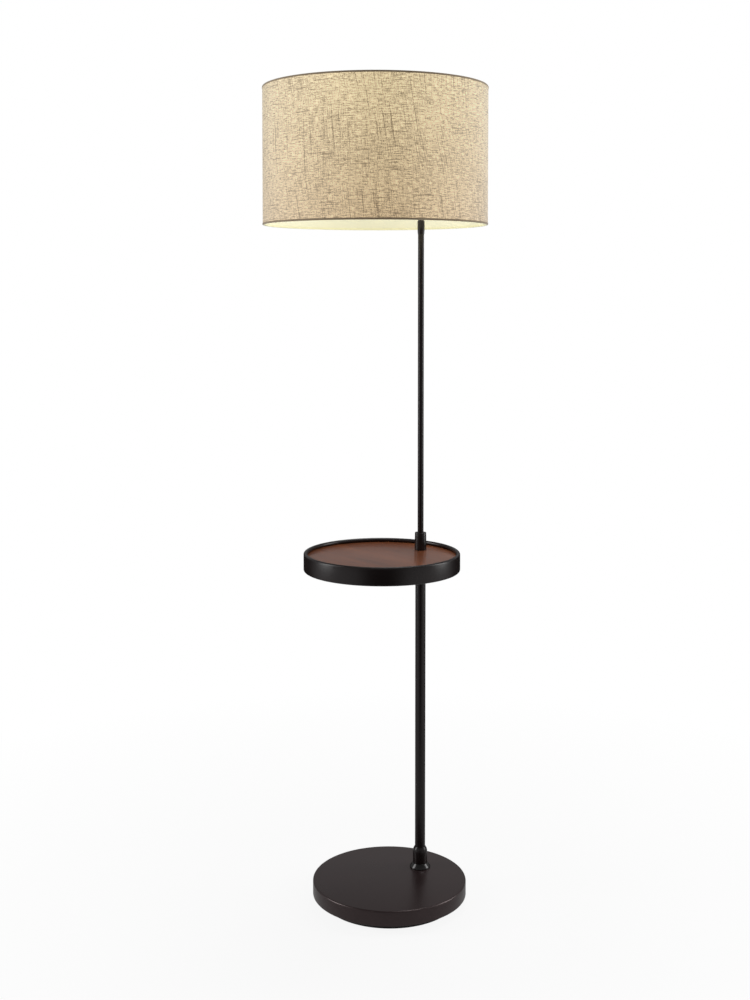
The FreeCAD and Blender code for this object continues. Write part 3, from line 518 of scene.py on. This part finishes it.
# %% [markdown]
# ## Linen shade
#
# The drum is linen, glued to a clear sheet and rolled into a cylinder, with one lapped seam at
# the back. Linen yarn is uneven: it thickens into slubs and strays from straight. Each yarn is
# noise drawn out along its run: coarse yarn both ways, fine threads between, and over them a few
# long slubs and slanted strays. The light that the bulb sends through the cloth is painted on as
# a glow. Thick yarn lets less light through, so the same pattern darkens the painted glow, and the
# glow is stronger high up, near the bulb. The pattern needs the flat cloth, so the drum carries
# its own UV map in metres, along the wall and up.

# %% Linen
SWAY = 12 * MM
WEFT, WARP = (12 * MM, 1.6 * MM), (13 * MM, 1.6 * MM)
THREAD = (4 * MM, 0.6 * MM)
SLUB, STRAY = (60 * MM, 2.4 * MM), (110 * MM, 2.4 * MM)
APART = 999
SPECKLE_SCALE = 620
PALE_YARN, DARK_YARN = (0.63, 0.570, 0.490), (0.39, 0.325, 0.250)
GLOW_LOW, GLOW_HIGH = (0.61, 0.440, 0.222), (0.81, 0.655, 0.360)
SHADED_LOW, SHADED_HIGH = (0.100, 0.055, 0.018), (0.14, 0.090, 0.034)


def linen_cloth():
    """Slubby linen, with the light from behind painted on as a glow."""
    cloth = Finish("linen_cloth", roughness=0.9, sheen_weight=0.55, sheen_roughness=0.5,
                   sheen_tint=(0.86, 0.94, 1.0), specular_ior_level=0.2, emission_strength=1.0)
    low, high = levels_of("shade_fabric")
    flat = cloth.place(unrolled=True)
    across, up = cloth.split(flat)[:2]
    rise = (up - low) / (high - low)
    sway = (cloth.noise(flat, 7, 1) - 0.5) * SWAY
    lean = cloth.noise(flat, 3, 0).ramp(0.35, 0.65) * 0.04 + 0.02

    def yarn(run, side, size, detail=2.0):
        """Noise that is long one way and narrow the other; its length sets it apart from the rest."""
        length, width = size
        at = cloth.node("CombineXYZ", None, {0: run / length, 1: side / width, 2: length * APART})
        return cloth.noise(at, 1.0, detail, 0.55)

    weft_side = up + sway
    warp_side = across + rise * lean + sway
    weft = yarn(across, weft_side, WEFT)
    warp = yarn(up, warp_side, WARP)
    speckle = cloth.noise(flat, SPECKLE_SCALE, 1)
    threads = yarn(across, weft_side, THREAD, 0) + yarn(up, warp_side, THREAD, 0) - 1
    slubs = yarn(across, weft_side, SLUB, 1.0).ramp(0.61, 0.72)
    strays = yarn(up, warp_side, STRAY, 1.0).ramp(0.61, 0.71)
    clouds = cloth.noise(flat, 8, 3, 0.6) - 0.5
    weave = weft * 0.44 + warp * 0.26 + speckle * 0.30
    thick = 0.47 - (weave - 0.5) * 9.5 - threads * 0.9 + slubs * 0.85 + strays - clouds
    dark = thick.ramp(-0.40, 1.55)
    cloth.set(base_color=cloth.blend(dark, PALE_YARN, DARK_YARN))
    # The emission is painted light: the bulb's glow through the cloth, weaker where the yarn is thick.
    glow = cloth.blend(rise, GLOW_LOW, GLOW_HIGH)
    shaded = cloth.blend(rise, SHADED_LOW, SHADED_HIGH)
    cloth.set(emission_color=cloth.blend(dark, glow, shaded))
    cloth.bump(weave * 0.5 + threads * 0.5 + 0.25, 0.4 * MM)
    return cloth.material


linen = linen_cloth()
print("linen nodes:", len(linen.node_tree.nodes))

# %% [markdown]
# ## Hem tape and lining
#
# A narrow tape is folded over each edge of the drum. It is brown outside and hides the wire ring
# inside, where the lamp shines on it and makes it look pale, which is painted on. The lining is a
# smooth cream sheet. Both glow a little, because the light that bounces about inside a real shade
# is slow to render, so that glow is painted light.

# %% Hem tape
TAPE_BROWN, TAPE_PALE_BROWN = (0.28, 0.21, 0.135), (0.49, 0.385, 0.265)
LAMPLIT_TAPE, LAMPLIT_TAPE_GLOW = (0.80, 0.77, 0.60), (0.36, 0.34, 0.17)


def tape_cloth():
    """Bias tape with a fine rib, brown outside, with painted lamplight making it pale and glowing inside."""
    tape = Finish("hem_tape", roughness=0.9, sheen_weight=0.5, sheen_roughness=0.4,
                  specular_ior_level=0.2, emission_strength=1.0)
    rib = tape.noise(tape.place((500, 500, 90)), 1.0, 2)
    from_axis = tape.place((1, 1, 0), (-SHADE_AXIS[0], -SHADE_AXIS[1], 0))
    radius = tape.node("VectorMath", {"operation": "LENGTH"}, {0: from_axis}, 1)
    edge = radius_of("bottom_hem")
    outside = radius.ramp(edge - 3.0 * MM, edge - 1.0 * MM)
    brown = tape.blend(rib, TAPE_BROWN, TAPE_PALE_BROWN)
    # Inside the shade, the pale colour and its glow are painted lamplight.
    tape.set(base_color=tape.blend(outside, LAMPLIT_TAPE, brown))
    tape.set(emission_color=tape.blend(outside, LAMPLIT_TAPE_GLOW, (0, 0, 0)))
    tape.bump(rib, 0.1 * MM)
    return tape.material


tape = tape_cloth()
print("tape nodes:", len(tape.node_tree.nodes))

# %% Lining
LINING_GLOW_LOW, LINING_GLOW_HIGH = (0.345, 0.345, 0.26), (0.395, 0.395, 0.315)


def lining_film():
    """Cream sheet inside the shade, with the bulb's light painted on as a glow that is weaker low down."""
    film = Finish("lining_film", roughness=0.45, base_color=(0.80, 0.77, 0.62), emission_strength=1.0)
    up = film.split(film.place())[2]
    low, high = levels_of("shade_liner")
    nearness = ((up - low) / (high - low)).ramp(0.0, 0.55)
    film.set(emission_color=film.blend(nearness, LINING_GLOW_LOW, LINING_GLOW_HIGH))
    return film.material


lining = lining_film()
print("lining nodes:", len(lining.node_tree.nodes))

# %% Roll the linen and its lining
CLOTH = 0.5 * MM


def unroll(piece, axis, radius):
    """Give a drum a UV map in metres: along the wall, and up."""
    layer = piece.data.uv_layers.new(name="UVMap")
    for face in piece.data.polygons:
        base = math.atan2(face.center.x - axis[0], axis[1] - face.center.y)
        for corner in face.loop_indices:
            point = piece.data.vertices[piece.data.loops[corner].vertex_index].co
            turn = math.atan2(point.x - axis[0], axis[1] - point.y)
            turn += math.tau * round((base - turn) / math.tau)
            layer.data[corner].uv = (turn * radius, point.z)


def drum(name, node, material, slot):
    """Roll a sheet into the cylinder that its solid part has."""
    low, high = levels_of(node)
    radius = radius_of(node)
    piece = turned(name, [
        (radius, low),
        (radius, high),
        (radius - CLOTH, high),
        (radius - CLOTH, low),
    ], SHADE_AXIS, material, [node], slot, steps=256)
    unroll(piece, SHADE_AXIS, radius)
    return piece


linen_drum = drum("shade_linen", "shade_fabric", linen, "linen")
drum("shade_lining", "shade_liner", lining, "liner_film")
cloth_radius = radius_of("shade_fabric")
cloth_low, cloth_high = levels_of("shade_fabric")
print("drum radius:", round(cloth_radius / MM, 1), "mm")

# %% Lap the seam at the back and roll the hems
BACK = math.radians(141)
LAP = 12 * MM
SKIN = 0.35 * MM
seam = turned("shade_seam", [
    (cloth_radius, cloth_low),
    (cloth_radius + SKIN, cloth_low),
    (cloth_radius + SKIN, cloth_high),
    (cloth_radius, cloth_high),
], SHADE_AXIS, linen, [], "linen", steps=6, start=BACK, sweep=LAP / cloth_radius)
unroll(seam, SHADE_AXIS, cloth_radius)

RING = 1.4 * MM
TAPE = 3.2 * MM
TAPE_EDGE = 0.2 * MM
TAPE_BEND = 1.2 * MM
hem_radius = radius_of("bottom_hem")
hem_bore = radius_of("shade_liner") - CLOTH - 2 * PLAY - 2 * RING - CLOTH
for node, up in (("bottom_hem", 1), ("top_hem", -1)):
    edge = levels_of(node)[0 if up > 0 else 1]
    fold = edge + up * TAPE
    turned(node + "_tape", [
        (hem_radius, fold, TAPE_EDGE),
        (hem_radius, edge, TAPE_BEND),
        (hem_bore, edge, TAPE_BEND),
        (hem_bore, fold, TAPE_EDGE),
        (hem_bore + CLOTH, fold),
        (hem_bore + CLOTH, edge + up * CLOTH),
        (hem_radius - CLOTH, edge + up * CLOTH),
        (hem_radius - CLOTH, fold),
    ], SHADE_AXIS, tape, [node], "hem_tape", steps=256)

# %% [markdown]
# ## Metal and moulded parts that keep their solid shape
#
# The lamp holder, the harp and the parts under the base have their full shape already, so they
# only get a finish. Plated steel clouds over, drawn wire has fine lines along it, brass tarnishes
# in patches, and moulded parts have a faint grain from the mould.

# %% Bare metals
STAIN_SCALE, MARK_SCALE = 120, 1500


def bare_metal(name, clean, stained, roughness, lines=(1, 1, 1)):
    """Metal with stains in patches and fine working marks."""
    metal = Finish(name, metallic=1.0)
    stains = metal.noise(metal.place(), STAIN_SCALE, 4).ramp(0.42, 0.68)
    marks = metal.noise(metal.place(lines), MARK_SCALE, 2)
    metal.set(base_color=metal.blend(stains, clean, stained))
    metal.set(roughness=stains * 0.12 + marks * 0.10 + (roughness - 0.08))
    metal.bump(marks, 0.01 * MM)
    return metal.material


ALONG_WIRE, ALONG_SHELL = (1, 1, 0.05), (1, 1, 0.1)
zinc = bare_metal("zinc_steel", (0.62, 0.64, 0.66), (0.50, 0.50, 0.44), roughness=0.34)
nickel = bare_metal("nickel_wire", (0.66, 0.62, 0.56), (0.52, 0.47, 0.40), roughness=0.22,
                    lines=ALONG_WIRE)
brass = bare_metal("socket_brass", (0.78, 0.57, 0.26), (0.52, 0.36, 0.16), roughness=0.26,
                   lines=ALONG_SHELL)
cap_metal = bare_metal("bulb_cap_metal", (0.76, 0.76, 0.77), (0.60, 0.60, 0.60), roughness=0.28)
solder = bare_metal("bulb_solder", (0.58, 0.57, 0.55), (0.40, 0.39, 0.37), roughness=0.42)
dress(zinc, "plinth_screws", "bottom_plate", "base_nipple", "base_washer", "base_nut", "base_plug",
      "tray_plug", "tray_nipple", "socket_nipple", "switch_shaft", "top_ring", "bottom_ring")
dress(nickel, "harp_saddle", "harp", "harp_sleeves", "harp_stud", "shade_spider")
dress(brass, "socket_cap", "socket_shell", "switch_bush", "screw_shell", "centre_contact")
dress(cap_metal, "bulb_cap")
dress(solder, "bulb_tip")
dress(black_coat, "lamp_arm", "arm_hub", "finial")

# %% Moulded, cast and paper parts
def grained(name, dark, light, roughness, scale, depth, **constants):
    """Dull material with grain of one scale in its colour and its surface."""
    stuff = Finish(name, **constants)
    grain = stuff.noise(stuff.place(), scale, 4, 0.6)
    stuff.set(base_color=stuff.blend(grain.ramp(0.3, 0.7), dark, light))
    stuff.set(roughness=grain * 0.15 + (roughness - 0.07))
    stuff.bump(grain, depth * MM)
    return stuff.material


dress(grained("black_moulding", (0.010, 0.009, 0.009), (0.018, 0.016, 0.016), roughness=0.5,
              scale=1100, depth=0.02, specular_ior_level=0.3), "plinth", "cord_bushing")
for node, name, dark, light, roughness, scale, depth in (
    ("base_weight", "cement", (0.22, 0.21, 0.20), (0.42, 0.41, 0.39), 0.9, 260, 0.3),
    ("inner_lead", "lead_sheath", (0.010, 0.010, 0.010), (0.020, 0.019, 0.019), 0.5, 700, 0.02),
    ("socket_core", "core_moulding", (0.022, 0.013, 0.009), (0.040, 0.024, 0.017), 0.35, 500, 0.02),
    ("socket_sleeve", "sleeve_card", (0.30, 0.24, 0.16), (0.46, 0.38, 0.27), 0.85, 420, 0.05),
    ("switch_knob", "knob_plastic", (0.012, 0.011, 0.010), (0.020, 0.018, 0.017), 0.28, 900, 0.01),
    ("bulb_insulator", "bulb_insulator_glass", (0.010, 0.009, 0.016), (0.022, 0.020, 0.032), 0.15, 200, 0.01),
):
    dress(grained(name, dark, light, roughness, scale, depth), node)

# %% [markdown]
# ## Bulb
#
# An opal bulb glows evenly and a little less towards its neck, where the cap shades it.

# %% Light the bulb
NECK_GLOW, BULB_GLOW = (0.55, 0.36, 0.19), (1.0, 0.74, 0.46)


def opal():
    """Opal glass, lit from inside."""
    glass = Finish("bulb_opal", base_color=(0.92, 0.90, 0.84), roughness=0.22, emission_strength=3.2)
    low, high = levels_of("bulb_glass")
    up = glass.split(glass.place())[2]
    height = ((up - low) / (high - low)).ramp(0.0, 0.4)
    glass.set(emission_color=glass.blend(height, NECK_GLOW, BULB_GLOW))
    return glass.material


dress(opal(), "bulb_glass")

# %% [markdown]
# ## Camera
#
# The camera stands where the photograph was taken: its height, its distance from the pole, its
# pan and tilt and its lens follow from how wide and how flat the three round parts look. The
# lamp hangs low in the frame, which is a shift of the lens and not more tilt, because the pole
# stays upright.

# %% Set the camera
SENSOR = 36
AZIMUTH, TILT = math.radians(51.03), 0.0496
POLE_DISTANCE, EYE_HEIGHT, POLE_RIGHT = 2.4840, 1.1157, 0.08418
FOCAL_PIXELS, AXIS_ROW, FRAME_ROWS = 1354.3, 358, 1000
sideways = Vector((math.cos(AZIMUTH), math.sin(AZIMUTH), 0))
ahead = Vector((-math.sin(AZIMUTH), math.cos(AZIMUTH), 0))
look = ahead * math.cos(TILT) - Vector((0, 0, math.sin(TILT)))
camera = bpy.data.objects.new("camera", bpy.data.cameras.new("camera"))
bpy.context.scene.collection.objects.link(camera)
camera.data.sensor_width = SENSOR
camera.data.lens = SENSOR * FOCAL_PIXELS / FRAME_ROWS
camera.data.shift_y = (AXIS_ROW - FRAME_ROWS / 2) / FRAME_ROWS
camera.data.clip_end = 100
camera.location = Vector((*POLE_AXIS, EYE_HEIGHT)) - sideways * POLE_RIGHT - ahead * POLE_DISTANCE
camera.rotation_mode = "QUATERNION"
camera.rotation_quaternion = look.to_track_quat("-Z", "Y")
bpy.context.scene.camera = camera
print("lens", round(camera.data.lens, 1), "mm, shift", round(camera.data.shift_y, 3))

# %% [markdown]
# ## Studio
#
# The lamp stands in a white room with two tall soft boxes beside it and one above and behind.
# What the camera sees of the floor and the room is plain white, and the floor keeps a faint
# shadow near the base. Black gloss shows whatever stands round it, so reflections get a studio
# of their own: a dim room with a paler band round it and paler sides, and a floor that is grey
# by the base and turns dark in front and behind, but not at the sides. It gives the black parts
# their dark middle and pale flanks.

# %% Floor
FADE_START, FADE_END = 0.35, 1.3
FLOOR_RADIUS = 30


def flanks(tree, direction):
    """1 where a direction points to a side of the studio, 0 behind the camera or the lamp."""
    facing = tree.node("VectorMath", {"operation": "DOT_PRODUCT"}, {0: direction, 1: -ahead}, 1)
    return facing.ramp(-0.60, -0.10) - facing.ramp(0.78, 0.97)


def white_floor():
    """Floor that is plain white to the camera, with its own greys for reflections."""
    finish = Finish("white_floor", base_color=(0.85, 0.85, 0.85), roughness=0.9)
    rays = finish.add("LightPath").outputs
    camera_ray = Wire(finish, rays["Is Camera Ray"])
    glossy_ray = Wire(finish, rays["Is Glossy Ray"])
    through_ray = Wire(finish, rays["Is Transmission Ray"])
    spot = finish.place()
    distance = finish.node("VectorMath", {"operation": "LENGTH"}, {0: spot}, 1)
    near = 1 - distance.ramp(FADE_START, FADE_END)
    panels = flanks(finish, finish.node("VectorMath", {"operation": "NORMALIZE"}, {0: spot}))
    share = (camera_ray + through_ray) * (1 - near * 0.10) + glossy_ray
    mirrored = near * 0.36 + (1 - near) * panels * 0.50 + 0.015
    white = finish.node("Emission", None, {"Color": 1 - glossy_ray * (1 - mirrored), "Strength": 1.0})
    lit = Wire(finish, finish.shader.outputs[0])
    mixed = finish.node("MixShader", None, {0: share.ramp(0, 1), 1: lit, 2: white})
    finish.feed(finish.tree.nodes["Material Output"].inputs["Surface"], mixed)
    return finish.material


floor_shape = bmesh.new()
bmesh.ops.create_circle(floor_shape, cap_ends=True, segments=64, radius=FLOOR_RADIUS)
floor_mesh = bpy.data.meshes.new("floor")
floor_shape.to_mesh(floor_mesh)
floor_shape.free()
floor_mesh.materials.append(white_floor())
floor = bpy.data.objects.new("floor", floor_mesh)
bpy.context.scene.collection.objects.link(floor)
print("floor:", FLOOR_RADIUS, "m in radius")

# %% Room
world = bpy.data.worlds.new("studio")
bpy.context.scene.world = world
world.use_nodes = True
room = Tree(world.node_tree)
rays = room.add("LightPath").outputs
seen = Wire(room, rays["Is Camera Ray"]) + Wire(room, rays["Is Transmission Ray"])
direction = room.node("TexCoord", output=0)
height = room.split(direction)[2]
band = height.ramp(0.05, 0.20) * 0.26 - height.ramp(0.50, 0.80) * 0.14
sides = flanks(room, direction) * (1 - height.ramp(0.30, 0.60)) * 0.16
dim = band + sides + 0.02
background = world.node_tree.nodes["Background"].inputs
room.feed(background["Color"], (1, 1, 1))
room.feed(background["Strength"], seen.ramp(0, 1) * (1 - dim) + dim)
print("room nodes:", len(world.node_tree.nodes))

# %% Soft boxes
AIM = Vector((0, 0, 0.8))


def softbox(name, bearing, height, distance, size, power):
    """A soft area lamp at a bearing round the lamp, counted from the camera, aimed at its middle."""
    data = bpy.data.lights.new(name, "AREA")
    data.shape = "RECTANGLE"
    data.size, data.size_y = size
    data.energy = power
    box = bpy.data.objects.new(name, data)
    turn = AZIMUTH + math.radians(bearing)
    box.location = (distance * math.sin(turn), -distance * math.cos(turn), height)
    box.rotation_mode = "QUATERNION"
    box.rotation_quaternion = (AIM - box.location).to_track_quat("-Z", "Y")
    bpy.context.scene.collection.objects.link(box)
    print(f"{name}: {power} W at {bearing} degrees")


softbox("left_box", bearing=-86, height=1.3, distance=2.2, size=(0.8, 1.9), power=21)
softbox("right_box", bearing=94, height=1.3, distance=2.2, size=(0.8, 1.9), power=20)
softbox("top_box", bearing=150, height=3.0, distance=0.7, size=(1.2, 1.2), power=26)
bpy.context.scene.view_settings.view_transform = "Standard"
